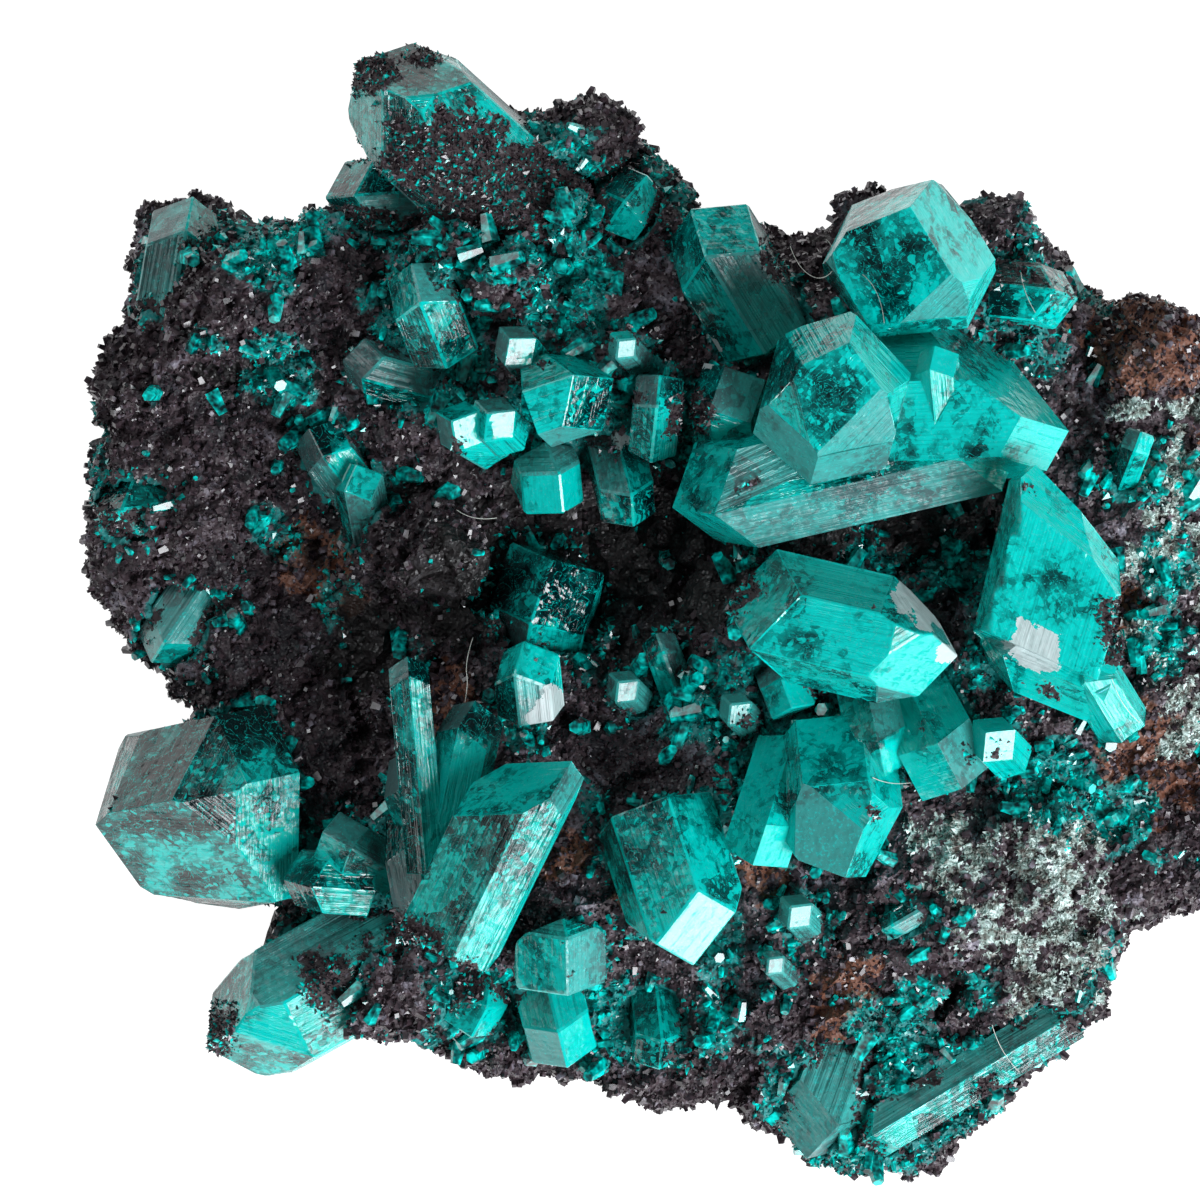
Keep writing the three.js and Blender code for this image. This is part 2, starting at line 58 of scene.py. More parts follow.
MM = 0.001
BODY = "root"
ROCK_NODE = "matrix"
ROCK_PIECE = "drusy_matrix"
FINE_PREFIX = "fine_"
CRYSTAL_NODES = sorted(set(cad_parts) - {ROCK_NODE})

# Points this close are one, and cuts are this exact.
WELD = 0.002 * MM
CUT = 1e-7

# Faces that turn less than the first are one face, and those that turn more than the second get a worn edge.
FLAT_ANGLE = math.radians(0.8)
CORNER_ANGLE = math.radians(8)

# The photograph's middle in the frame, and how much of the frame its width takes in.
PHOTO_MIDDLE = Vector((-6.049, 0.297, 12.0)) * MM
PHOTO_WIDTH = 60 * MM

# How bright each crystal is inside (0 dark, 1 bright), how much brown crust lies on it and how many of
# its faces are dull with bloom and a painted greyish sheen.
CRYSTAL_LOOKS = {
    "bottom_crystals": (0.46, 0.4, 0.4),
    "bottom_left_prism": (0.52, 0.2, 0.3),
    "bright_faced_crystal": (0.6, 0.15, 0.1),
    "centre_spray": (0.52, 0.12, 0.3),
    "centre_tile": (0.5, 0.5, 0.95),
    "crown_crystals": (0.52, 0.5, 0.2),
    "far_left_crystal": (0.44, 0.35, 0.4),
    "hollow_crystal": (0.26, 0.35, 0.4),
    "hollow_edge_tile": (0.5, 0.4, 0.95),
    "hollow_roof_twin": (0.3, 0.3, 0.3),
    "ledge_crystal": (0.32, 0.5, 0.5),
    "left_band_crystals": (0.36, 0.4, 0.5),
    "left_edge_crystal": (0.28, 0.6, 0.5),
    "left_foot_crystals": (0.46, 0.3, 0.4),
    "low_small_tile": (0.5, 0.5, 0.95),
    "low_white_tile": (0.5, 0.4, 0.95),
    "lower_bright_crystal": (0.76, 0.1, 0.1),
    "lower_dark_crystal": (0.36, 0.3, 0.2),
    "lower_edge_crystal": (0.74, 0.15, 0.1),
    "lower_edge_twin": (0.34, 0.3, 0.3),
    "lower_left_crystal": (0.3, 0.12, 0.18),
    "lower_middle_group": (0.74, 0.15, 0.1),
    "middle_crystal": (0.68, 0.12, 0.1),
    "right_crystals": (0.6, 0.15, 0.1),
    "right_group": (0.62, 0.12, 0.25),
    "upper_right_crystal": (0.58, 0.1, 0.25),
    "upper_small_tile": (0.5, 0.5, 0.95),
}
USUAL_LOOK = (0.48, 0.3, 0.35)
FACE_SPREAD = 0.34
# Painted highlight: how much lighter the worn edges are coloured, as rims that catch the light.
PAINTED_EDGE_HIGHLIGHT = 0.22

# Noises in and on the crystals: feature size in millimetres, detail, roughness and distortion.
CRYSTAL_NOISES = {
    "cloud": (1.9, 4, 0.66, 0.5),
    "cracks": (1.1, 3, 0.5, 2.2),
    "depth": (4.6, 2, 0.5, 0),
    "grain": (0.3, 2, 0.7, 0),
    "specks": (0.15, 1, 0.5, 0),
    "swell": (0.8, 2, 0.5, 0),
    "wear": (2.2, 3, 0.65, 0),
}

# Cells of one shade each inside the crystals: their size in millimetres. Their places are bent by a slow
# drift, so that their borders curve.
CRYSTAL_CELLS = {"flaws": 1.5, "chips": 0.4, "shards": 0.24}
DRIFT_SIZE = 2.6 * MM
DRIFT_REACH = (1.6 * MM, 1.6 * MM, 1.6 * MM)

# What steers a crystal's looks: where each sum starts, and what adds to it with which weight.
CRYSTAL_SUMS = {
    # Painted light: the term for the side towards the light makes that side of each crystal brighter.
    "level": (-1.0, {"cloud": 0.8, "depth": 1.1, "flaws": 0.3, "chips": 0.22, "tone": 0.8, "lit": 0.16}),
    # Painted glints: bright flecks inside the crystal, more of them where it is bright and towards the light.
    "fleck": (-0.42, {"shards": 0.8, "level": 0.8, "lit": 0.1}),
    "dulled": (-0.12, {"sheen": 0.65, "wear": 0.28}),
    "speckled": (-0.12, {"specks": 1.0, "level": 0.2}),
    "bruised": (0.0, {"worn": 1.0, "grain": 1.0}),
    "crusted": (0.0, {"crust": 1.0, "grain": 1.0}),
}

# Layers over a crystal's body colour, from the inside out: what steers each, how much of it shows at
# which value, and which colour it has.
CRYSTAL_LAYERS = [
    # Painted glints: bright flecks inside the crystal.
    ("fleck", [(0.62, 0), (0.66, 0.85)], "bright"),
    ("cracks", [(0.485, 0), (0.5, 0.7), (0.515, 0)], "bright"),
    # Partly painted reflection: a greyish sheen, laid with the dull bloom on the chosen faces.
    ("dulled", [(0.3, 0), (0.75, 0.65)], "bloom"),
    # Partly painted sparkle: fine bright specks stand for tiny glints as well as for pitting and dust.
    ("speckled", [(0.66, 0), (0.74, 0.8)], "frost"),
    # Painted highlight: near-white patches where the faces would mirror the light.
    ("bruised", [(0.98, 0), (1.0, 0.9)], "worn"),
    ("crusted", [(0.91, 0), (1.0, 1)], "crust"),
]

# Relief of a crystal's faces: what gives its height, how strong it is, and how high in millimetres.
CRYSTAL_RELIEF = [("ribs", 0.8, 0.3), ("swell", 0.6, 0.18), ("pits", 0.3, 0.02)]

# Patches of the rock and of the crystals' brown crust: x, y and radius in millimetres.
PALE_PATCHES = [
    (22.2, 7.6, 3), (22.9, 3.4, 3.4), (22.4, -0.9, 2.8), (23, -4.6, 2.6), (26.5, 3, 4.4), (27, -3, 4),
    (11.6, -12.4, 2.6), (13.9, -14.9, 3.2), (16.9, -12.6, 2.6), (16.4, -17.9, 3.2), (18.6, -15, 2.2),
]
TEAL_PATCHES = [
    (-10.5, 19, 3.6), (-7.4, 16.4, 3), (-7.6, 21, 2.6), (0.4, 2.4, 1.8), (17, -9.2, 2.6), (19.8, -10.6, 1.8),
    (-22.4, 18, 2.6), (-16.2, 15.6, 2.4), (3, -7.4, 3), (-2.4, -14.6, 2.4), (12.6, 9, 2.4), (8.8, -21.4, 3),
    (-4.6, -21, 2), (1.6, 14.6, 2.6), (-13.8, 11.8, 2.2), (-1, -5.4, 2.2), (5.6, -26.4, 3), (14.6, 2.6, 4),
    (8.4, 3.2, 4), (-10, 9.6, 2.6), (-3.4, 9.8, 2.6), (-22, 11.4, 2), (-17.4, -13.4, 2.4), (21.4, 6.8, 2),
    (22.4, 2.3, 2), (22, -1.7, 1.8), (18.6, -4.4, 1.6),
]
RUST_PATCHES = [
    (19.9, -0.9, 1.8), (-8.1, -11.9, 1.6), (21.4, -7.9, 3), (20.4, 13.6, 3.2), (23.6, 12.4, 3.2), (28, 8, 4),
    (-3.6, -13.8, 2.2), (2, -13.4, 1.6), (6.4, -20, 2.4), (-20, 2, 2.4), (-14, -5, 2),
]
CRUST_PATCHES = [
    (-11, 19.4, 3), (-8.4, 20.4, 2.2), (-13.6, 21.6, 1.4), (-19.8, -18.6, 1.8), (-15.4, -17, 1.6),
    (0.8, 0.8, 1.4), (-1.6, 9.4, 1.1), (-19, 17.4, 1.4), (19.9, -1.2, 1.6), (3.4, 17.2, 1.4),
    (-12.5, 21.8, 2.6), (-10, 20.3, 2.6), (-15.4, 22.4, 1.6), (-25.4, -21.4, 1.2), (-17.4, 26.6, 1.3),
    (-13.4, -18.8, 1.6),
]

# White painted highlights on the crystals, where their faces would mirror the light: x, y and radius in
# millimetres.
PAINTED_HIGHLIGHT_PATCHES = [
    (9.4, 0.5, 1.2), (10.2, -0.5, 1), (11.4, -2.5, 0.9), (14.9, -1.6, 1.1), (15.8, -2.4, 1),
    (-8.3, -5.4, 1.2), (-5.2, 8.6, 1), (-1, 12.6, 0.9),
]

# The side from which most light comes, as a direction. Each crystal's colour is painted brighter towards this
# side.
PAINTED_LIGHT_SIDE = (0.62, -0.56, 0.55)

# Relief of the rock: its blocks' and knobs' height, and the steps between their facets, as a share of
# their width, and a finer unevenness.
BLOCK_HEIGHT = 0.36
KNOB_HEIGHT = 0.4
FACET_STEP = 0.4
SKIN_HEIGHT = 0.1 * MM
SKIN_SIZE = 0.5 * MM

# The deep hollows: painted near-black as shade, and without druse.
PAINTED_SHADE_HOLLOWS = [
    (-3.4, 1.8, 6), (-8.6, 4.8, 2.6), (9.4, 4.6, 2.6), (13.4, 4.8, 2.8), (-13.4, 1.2, 3.4), (4.6, 3.2, 2.4),
    (-18, -2, 2.6),
]

# Lint on the crystals: each a loose path through x, y and z in millimetres.
LINT_PATHS = [
    [
        (3.4, 17.9, 17.6), (3.7, 17, 18.4), (4.6, 16.2, 19),
        (5.4, 16.4, 19.4), (5.9, 17.4, 19.2), (5.2, 18.2, 18.8),
    ],
    [(5.6, 17.4, 19), (7, 16.6, 20.4), (7.9, 15.2, 21.8), (8, 14, 23.4)],
    [(14.9, 16.6, 16.4), (15, 15.6, 17), (15.6, 14.6, 17.2)],
    [(13.2, 9.4, 19.8), (13.4, 8.2, 19.6), (14.4, 7.6, 19)],
    [(15.8, 9.2, 18.8), (16.4, 8.4, 18.4), (16.2, 7.2, 17.6)],
    [(13.6, -21, 9.6), (14, -22.4, 9), (15, -23.4, 8.2)],
    [(-13.2, 4.8, 13), (-12.4, 4.2, 13.4), (-11.2, 4.4, 13.2)],
    [(-12.4, -1.6, 13.2), (-12.8, -2.8, 14), (-12.6, -4, 14.4), (-12.9, -5.4, 14)],
    [(7, -8.2, 17.4), (8, -9, 17), (9.4, -8.8, 16.8)],
    [(19.4, -3.6, 18), (19.8, -5, 18), (20.8, -5.8, 17.6)],
]


def linear(code):
    """Turns an sRGB hex value into linear red, green and blue."""
    channels = [((code >> shift) & 255) / 255 for shift in (16, 8, 0)]
    return tuple(c / 12.92 if c <= 0.04045 else ((c + 0.055) / 1.055) ** 2.4 for c in channels)


def size_property(name, description, default):
    """A length that a user may change, in metres."""
    return bpy.props.FloatProperty(
        name=name,
        description=description,
        default=default,
        min=0,
        precision=6,
        subtype="DISTANCE",
        unit="LENGTH",
    )


def colour_property(name, description, code):
    """A colour that a user may change, given as an sRGB hex value."""
    return bpy.props.FloatVectorProperty(
        name=name, description=description, default=linear(code), size=3, min=0, max=1, subtype="COLOR"
    )


def count_property(name, description, default):
    """A whole number that a user may change."""
    return bpy.props.IntProperty(name=name, description=description, default=default, min=0)


def share_property(name, description, default):
    """A share from 0 to 1 that a user may change."""
    return bpy.props.FloatProperty(
        name=name, description=description, default=default, min=0, max=1, subtype="FACTOR"
    )


class MatrixSettings(bpy.types.PropertyGroup):
    """The matrix: its mesh and its colours."""

    closing: size_property("Closing", "How far the rock grows to meet the crystals", 0.33 * MM)
    voxel: size_property("Voxel", "Grid size that the rock is meshed at", 0.34 * MM)
    block_size: size_property("Block size", "Width of the rock's angular blocks", 1.9 * MM)
    knob_size: size_property("Knob size", "Width of the smaller angular knobs", 0.8 * MM)
    foot: size_property("Foot", "Height over which the relief fades out above the flat base", 1.6 * MM)
    dark: colour_property("Dark", "The rock in its hollows", 0x19151C)
    brown: colour_property("Brown", "The rock's usual brown", 0x43363B)
    grey: colour_property("Grey", "Bloom on the older crust", 0x7D7884)
    rust: colour_property("Rust", "Iron-stained places", 0x6E4330)
    teal: colour_property("Teal", "Thin dioptase druse on the rock", 0x048280)
    pale: colour_property("Pale", "Granular whitish crust", 0x98A19D)
    # Painted shade: the near-black that the rock is coloured in its hollows and recesses.
    hollow: colour_property("Hollow", "The rock down in the hollows", 0x080606)


class CrystalSettings(bpy.types.PropertyGroup):
    """The dioptase crystals: their edges and their colours."""

    edge: size_property("Edge", "Width of the worn edges", 0.09 * MM)
    rib: size_property("Rib", "Usual spacing of the ridges along a prism face", 0.24 * MM)
    rib_depth: size_property("Rib depth", "How deep the furrows between the ridges are", 0.045 * MM)
    ribbed_from: share_property("Ribbed from", "How slim a face has to be to be ribbed", 0.5)
    grid: size_property("Grid", "Spacing of the points that carry a crystal's crust", 0.7 * MM)
    reach: size_property("Crust reach", "How far the crust creeps up from the rock", 1.2 * MM)
    deep: colour_property("Deep", "Where the crystal is thick or cracked", 0x001E22)
    shade: colour_property("Shade", "Its shaded side", 0x006160)
    teal: colour_property("Teal", "The crystal's usual blue-green", 0x00A59E)
    bright: colour_property("Bright", "Where light comes back through it", 0x00F4EA)
    # Partly painted sparkle: its fine bright specks stand for tiny glints as well as for pitting and dust.
    frost: colour_property("Frost", "Fine pitting and dust on the faces", 0x3CF2EC)
    # Painted highlight: the near-white of the patches where faces would mirror the light.
    worn: colour_property("Worn", "White bruised places", 0xF0FAFC)
    # Partly painted reflection: the greyish sheen that faces show by mirroring their surroundings, laid on
    # with the bloom.
    bloom: colour_property("Bloom", "Greyish bloom on older faces", 0x6E9396)
    crust: colour_property("Crust", "Brown crust on the crystals", 0x352A2D)
    transmission: share_property("Transmission", "How much of the light passes into the crystal", 0.45)


class DruseSettings(bpy.types.PropertyGroup):
    """The grains that cover the matrix and creep onto the crystals."""

    block_count: count_property("Blocks", "Larger brown grains on the rock", 14000)
    grain_count: count_property("Grains", "Fine brown grains on the rock", 46000)
    teal_count: count_property("Teal grains", "Fine dioptase grains", 28000)
    sprig_count: count_property("Sprigs", "Small dioptase crystals a millimetre or so long", 900)
    pale_count: count_property("Pale grains", "Grains of the whitish crust", 36000)
    crust_count: count_property("Crust grains", "Brown grains on the crystals", 30000)
    film_count: count_property("Film grains", "Teal grains among those on the crystals", 5000)
    seed: count_property("Seed", "Fixed seed of the scatter", 11)


class LintSettings(bpy.types.PropertyGroup):
    """Lint that lies on the crystals."""

    radius: size_property("Radius", "Half the thickness of a fibre", 0.016 * MM)
    colour: colour_property("Colour", "Undyed fibre", 0xD8DAD2)


class StageSettings(bpy.types.PropertyGroup):
    """Floor, lights and camera."""

    floor_colour: colour_property("Floor", "The board's own colour, without its glow", 0x9C9C9A)
    lens: bpy.props.FloatProperty(name="Lens", description="Focal length, mm", default=600, min=1, max=600)
    key_power: bpy.props.FloatProperty(name="Key", description="Power of the main light, W", default=7.5)
    fill_power: bpy.props.FloatProperty(name="Fill", description="Power of the weaker light, W", default=1.8)
    sky: bpy.props.FloatProperty(name="Sky", description="Brightness of the surroundings", default=0.08)
    glow: share_property("Glow", "How much light the floor gives off", 1.0)


class SpecimenSettings(bpy.types.PropertyGroup):
    """Everything that a user may change."""

    matrix: bpy.props.PointerProperty(type=MatrixSettings)
    crystals: bpy.props.PointerProperty(type=CrystalSettings)
    druse: bpy.props.PointerProperty(type=DruseSettings)
    lint: bpy.props.PointerProperty(type=LintSettings)
    stage: bpy.props.PointerProperty(type=StageSettings)


def lattice(cell, salt):
    """A repeatable pseudo-random value for each whole-numbered cell, 0 to 1. Each salt gives another set."""
    x, y, z = (cell[:, axis].astype(np.uint64) for axis in range(3))
    mask = np.uint64(0xFFFFFFFF)
    mixed = x * np.uint64(374761393) + y * np.uint64(668265263) + z * np.uint64(2147483647)
    mixed = (mixed + np.uint64(salt * 1442695)) & mask
    for shift in (13, 16, 11):
        mixed = ((mixed ^ (mixed >> np.uint64(shift))) * np.uint64(1274126177)) & mask
    return (mixed ^ (mixed >> np.uint64(15))).astype(float) / float(mask)


def smooth_noise(points, size, salt):
    """Smooth noise of that feature size, -1 to 1."""
    scaled = points / size
    base = np.floor(scaled).astype(np.int64)
    ease = scaled - base
    ease = ease * ease * (3 - 2 * ease)
    total = np.zeros(len(points))
    for corner in itertools.product((0, 1), repeat=3):
        weight = np.prod(np.where(np.array(corner) == 1, ease, 1 - ease), axis=1)
        total += weight * lattice(base + np.array(corner), salt)
    return 2 * total - 1


def facets(points, size, salt):
    """Height of a broken surface whose cells, of that size, are each a facet turned its own way."""
    scaled = points / size
    base = np.floor(scaled).astype(np.int64)
    nearest = np.full(len(points), np.inf)
    height = np.zeros(len(points))
    for shift in itertools.product((-1, 0, 1), repeat=3):
        cell = base + np.array(shift)
        seed = cell + np.stack([lattice(cell, salt + axis) for axis in range(3)], axis=1)
        offset = scaled - seed
        distance = (offset**2).sum(axis=1)
        tilt = np.stack([lattice(cell, salt + 3 + axis) for axis in range(3)], axis=1) * 2 - 1
        nearer = distance < nearest
        nearest[nearer] = distance[nearer]
        own = (offset * tilt).sum(axis=1) + FACET_STEP * (lattice(cell, salt + 6) - 0.5)
        height[nearer] = own[nearer]
    return height * size


def fade(low, high, values):
    """0 below low, 1 above high and smooth between them."""
    share = np.clip((values - low) / (high - low), 0, 1)
    return share * share * (3 - 2 * share)


def patch_share(points, patches, salt):
    """How far each point lies in any of the patches, 0 to 1, with ragged borders."""
    share = np.zeros(len(points))
    ragged = 0.45 * smooth_noise(points, 1.4 * MM, salt)
    ragged += 0.25 * smooth_noise(points, 0.5 * MM, salt + 9)
    for x, y, radius in patches:
        away = np.hypot(points[:, 0] - x * MM, points[:, 1] - y * MM) / (radius * MM)
        share = np.maximum(share, 1 - fade(0.55, 1.15, away + ragged))
    return share


def recess_share(points, cell, reach):
    """How deep each point lies below the mean of its surroundings seen from above, 0 to 1."""
    low = points[:, :2].min(axis=0)
    place = ((points[:, :2] - low) / cell).astype(int)
    size = place.max(axis=0) + 1
    top = np.zeros(size)
    np.maximum.at(top, tuple(place.T), points[:, 2])
    steps = int(reach / cell)
    padded = np.pad(top, steps, mode="edge")
    width = 2 * steps + 1
    offsets = itertools.product(range(width), repeat=2)
    around = sum(padded[i : i + size[0], j : j + size[1]] for i, j in offsets) / width**2
    sunk = around[tuple(place.T)] - points[:, 2]
    return fade(0.2 * MM, 1.8 * MM, sunk)


def mesh_points(mesh):
    """The mesh's points as an array."""
    flat = np.empty(len(mesh.vertices) * 3)
    mesh.vertices.foreach_get("co", flat)
    return flat.reshape(-1, 3)


def point_normals(mesh):
    """The normals at the mesh's points as an array."""
    flat = np.empty(len(mesh.vertices) * 3)
    mesh.vertex_normals.foreach_get("vector", flat)
    return flat.reshape(-1, 3)


def set_points(mesh, points):
    """Moves the mesh's points to those of the array."""
    mesh.vertices.foreach_set("co", points.ravel())
    mesh.update()


def set_attribute(mesh, name, values):
    """Writes one number for each point of the mesh."""
    attribute = mesh.attributes.get(name) or mesh.attributes.new(name, "FLOAT", "POINT")
    attribute.data.foreach_set("value", np.asarray(values, dtype=np.float32))


def distances(tree, points):
    """How far each point is from the nearest face of a search tree."""
    return np.array([tree.find_nearest(Vector(p))[3] for p in points])


def merged_node(name):
    """A closed copy of a CAD node, with its loose triangles joined."""
    shape = bmesh.new()
    shape.from_mesh(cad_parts[name].data)
    bmesh.ops.remove_doubles(shape, verts=shape.verts, dist=WELD)
    return shape


def evaluated_mesh(holder, name):
    """The plain mesh that an object's modifiers give. The object is removed."""
    bpy.context.view_layer.update()
    depsgraph = bpy.context.evaluated_depsgraph_get()
    mesh = bpy.data.meshes.new_from_object(holder.evaluated_get(depsgraph), depsgraph=depsgraph)
    mesh.name = name
    bpy.data.objects.remove(holder)
    if not mesh.polygons:
        raise RuntimeError(f"{name} came out empty")
    return mesh


def linked_object(name, data):
    """A new object in the scene."""
    made = bpy.data.objects.new(name, data)
    bpy.context.scene.collection.objects.link(made)
    return made


def place_piece(name, mesh, material, replaced=()):
    """Makes a finished piece of a mesh: it rides on the specimen's one body."""
    piece = linked_object(name, mesh)
    mesh.materials.clear()
    mesh.materials.append(material)
    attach(piece, BODY)
    if replaced:
        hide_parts(*replaced)


def add_node(tree, kind, links=None, stops=None, **settings):
    """Adds a node with its settings, its links or values, and a colour ramp's stops."""
    node = tree.nodes.new(kind)
    for name, value in settings.items():
        setattr(node, name, value)
    for key, value in (links or {}).items():
        if isinstance(value, bpy.types.NodeSocket):
            tree.links.new(value, node.inputs[key])
        else:
            node.inputs[key].default_value = value
    for place, (position, colour) in enumerate(stops or []):
        elements = node.color_ramp.elements
        stop = elements[place] if place < 2 else elements.new(position)
        stop.position = position
        stop.color = (*colour, 1)
    return node


def new_material(name):
    """An empty node material and its tree."""
    material = bpy.data.materials.new(name)
    material.use_nodes = True
    material.node_tree.nodes.clear()
    return material, material.node_tree


def grey(value):
    """A ramp colour that carries one number."""
    return (value, value, value)


# Dioptase, grown in the open: glassy where clean, pitted and striped along its prism faces, cloudy and
# cracked inside. The eye gets deep blue-green with brighter patches, pale rims and a few mirror faces.
# Painted light lies in its colour: a lighter side towards the light, pale rims, glints, sparkle, a greyish
# sheen and white highlights.
def dioptase_material(settings, name="dioptase_vitreous"):
    material, tree = new_material(name)
    place = add_node(tree, "ShaderNodeTexCoord").outputs["Object"]
    value = {}
    for attribute in ("crust", "lit", "ribbed", "sheen", "tone", "worn"):
        value[attribute] = add_node(tree, "ShaderNodeAttribute", attribute_name=attribute).outputs["Fac"]
    for noise, (size, detail, roughness, distortion) in CRYSTAL_NOISES.items():
        character = {"Detail": detail, "Roughness": roughness, "Distortion": distortion}
        made = add_node(tree, "ShaderNodeTexNoise", {"Vector": place, "Scale": 1 / (size * MM), **character})
        value[noise] = made.outputs["Fac"]
    drift = add_node(tree, "ShaderNodeTexNoise", {"Vector": place, "Scale": 1 / DRIFT_SIZE}).outputs["Color"]
    bent = add_node(
        tree, "ShaderNodeVectorMath", {0: drift, 1: DRIFT_REACH, 2: place}, operation="MULTIPLY_ADD"
    ).outputs["Vector"]
    for cells, size in CRYSTAL_CELLS.items():
        made = add_node(tree, "ShaderNodeTexVoronoi", {"Vector": bent, "Scale": 1 / (size * MM)})
        value[cells] = made.outputs["Color"]
    for total, (start, terms) in CRYSTAL_SUMS.items():
        value[total] = start
        for term, weight in terms.items():
            inputs = {0: value[term], 1: weight, 2: value[total]}
            value[total] = add_node(tree, "ShaderNodeMath", inputs, operation="MULTIPLY_ADD").outputs[0]
    colour = add_node(
        tree,
        "ShaderNodeValToRGB",
        {"Fac": value["level"]},
        stops=[(0.36, settings.deep), (0.5, settings.shade), (0.64, settings.teal), (0.84, settings.bright)],
    ).outputs["Color"]
    share = {}
    for steered_by, stops, layer in CRYSTAL_LAYERS:
        greys = [(position, grey(amount)) for position, amount in stops]
        share[steered_by] = add_node(
            tree, "ShaderNodeValToRGB", {"Fac": value[steered_by]}, stops=greys
        ).outputs["Color"]
        inputs = {0: share[steered_by], 6: colour, 7: (*getattr(settings, layer), 1)}
        colour = add_node(tree, "ShaderNodeMix", inputs, data_type="RGBA").outputs[2]
    polish = add_node(
        tree,
        "ShaderNodeMapRange",
        {"Value": value["wear"], "From Min": 0.35, "From Max": 0.65, "To Min": 0.02, "To Max": 0.15},
    ).outputs["Result"]
    for dull, weight in ((value["sheen"], 0.2), (share["bruised"], 0.3)):
        inputs = {0: dull, 1: weight, 2: polish}
        polish = add_node(tree, "ShaderNodeMath", inputs, operation="MULTIPLY_ADD").outputs[0]
    roughness = add_node(
        tree, "ShaderNodeMix", {0: share["crusted"], 2: polish, 3: 0.75}, data_type="FLOAT"
    ).outputs[0]
    passing = add_node(
        tree, "ShaderNodeMix", {0: share["crusted"], 2: settings.transmission, 3: 0.0}, data_type="FLOAT"
    ).outputs[0]
    stripes = add_node(tree, "ShaderNodeUVMap", uv_map="stripes").outputs["UV"]
    stretch = add_node(
        tree, "ShaderNodeMapping", {"Vector": stripes, "Scale": (0.06, 3.4, 1)}
    ).outputs["Vector"]
    striae = add_node(
        tree, "ShaderNodeTexNoise", {"Vector": stretch, "Scale": 1.0, "Detail": 3, "Roughness": 0.65}
    ).outputs["Fac"]
    value["ribs"] = add_node(
        tree, "ShaderNodeMath", {0: striae, 1: value["ribbed"]}, operation="MULTIPLY"
    ).outputs[0]
    value["pits"] = add_node(
        tree, "ShaderNodeTexVoronoi", {"Vector": place, "Scale": 1 / (0.26 * MM)}
    ).outputs["Distance"]
    under = {}
    for height, strength, distance in CRYSTAL_RELIEF:
        inputs = {"Height": value[height], "Strength": strength, "Distance": distance * MM, **under}
        under = {"Normal": add_node(tree, "ShaderNodeBump", inputs).outputs["Normal"]}
    surface = add_node(
        tree,
        "ShaderNodeBsdfPrincipled",
        {
            "Base Color": colour,
            "Roughness": roughness,
            "IOR": 1.67,
            "Specular IOR Level": 0.36,
            "Transmission Weight": passing,
            **under,
        },
    ).outputs["BSDF"]
    inside = add_node(
        tree, "ShaderNodeVolumeAbsorption", {"Color": (*linear(0x24DCD4), 1), "Density": 420}
    ).outputs["Volume"]
    add_node(tree, "ShaderNodeOutputMaterial", {"Surface": surface, "Volume": inside})
    return material


# Matrix: a vuggy, iron-stained rock under a skin of tiny brown and teal crystals. The eye gets a nearly
# black brown that sparkles here and there, with rusty, teal and whitish places, and painted near-black shade
# down in its hollows.
def matrix_material(settings, name="matrix_drusy"):
    material, tree = new_material(name)
    place = add_node(tree, "ShaderNodeTexCoord").outputs["Object"]
    mottle = add_node(
        tree, "ShaderNodeTexNoise", {"Vector": place, "Scale": 1 / (1.3 * MM), "Detail": 4, "Roughness": 0.7}
    ).outputs["Fac"]
    broad = add_node(tree, "ShaderNodeTexNoise", {"Vector": place, "Scale": 1 / (5.5 * MM)}).outputs["Fac"]
    mottled = -0.3
    for noise, weight in ((mottle, 1.0), (broad, 0.6)):
        inputs = {0: noise, 1: weight, 2: mottled}
        mottled = add_node(tree, "ShaderNodeMath", inputs, operation="MULTIPLY_ADD").outputs[0]
    colour = add_node(
        tree,
        "ShaderNodeValToRGB",
        {"Fac": mottled},
        stops=[(0.38, settings.dark), (0.56, settings.brown), (0.72, settings.grey)],
    ).outputs["Color"]
    grain = add_node(
        tree, "ShaderNodeTexNoise", {"Vector": place, "Scale": 1 / (0.35 * MM), "Detail": 3, "Roughness": 0.7}
    ).outputs["Fac"]
    # The last of these is painted shade: the rock turns near-black in its hollows and recesses.
    for patch in ("rust", "teal", "pale", "hollow"):
        share = add_node(tree, "ShaderNodeAttribute", attribute_name=patch).outputs["Fac"]
        level = add_node(tree, "ShaderNodeMath", {0: share, 1: grain}, operation="ADD").outputs[0]
        shown = add_node(
            tree, "ShaderNodeValToRGB", {"Fac": level}, stops=[(0.75, grey(0)), (1.0, grey(0.85))]
        ).outputs["Color"]
        inputs = {0: shown, 6: colour, 7: (*getattr(settings, patch), 1)}
        colour = add_node(tree, "ShaderNodeMix", inputs, data_type="RGBA").outputs[2]
    sparkle = add_node(tree, "ShaderNodeTexVoronoi", {"Vector": place, "Scale": 1 / (0.22 * MM)})
    roughness = add_node(
        tree, "ShaderNodeMapRange", {"Value": sparkle.outputs["Color"], "To Min": 0.25, "To Max": 0.9}
    ).outputs["Result"]
    fine = add_node(
        tree, "ShaderNodeBump", {"Height": sparkle.outputs["Distance"], "Strength": 0.8, "Distance": 0.1 * MM}
    ).outputs["Normal"]
    surface = add_node(
        tree, "ShaderNodeBsdfPrincipled", {"Base Color": colour, "Roughness": roughness, "Normal": fine}
    ).outputs["BSDF"]
    add_node(tree, "ShaderNodeOutputMaterial", {"Surface": surface})
    return material


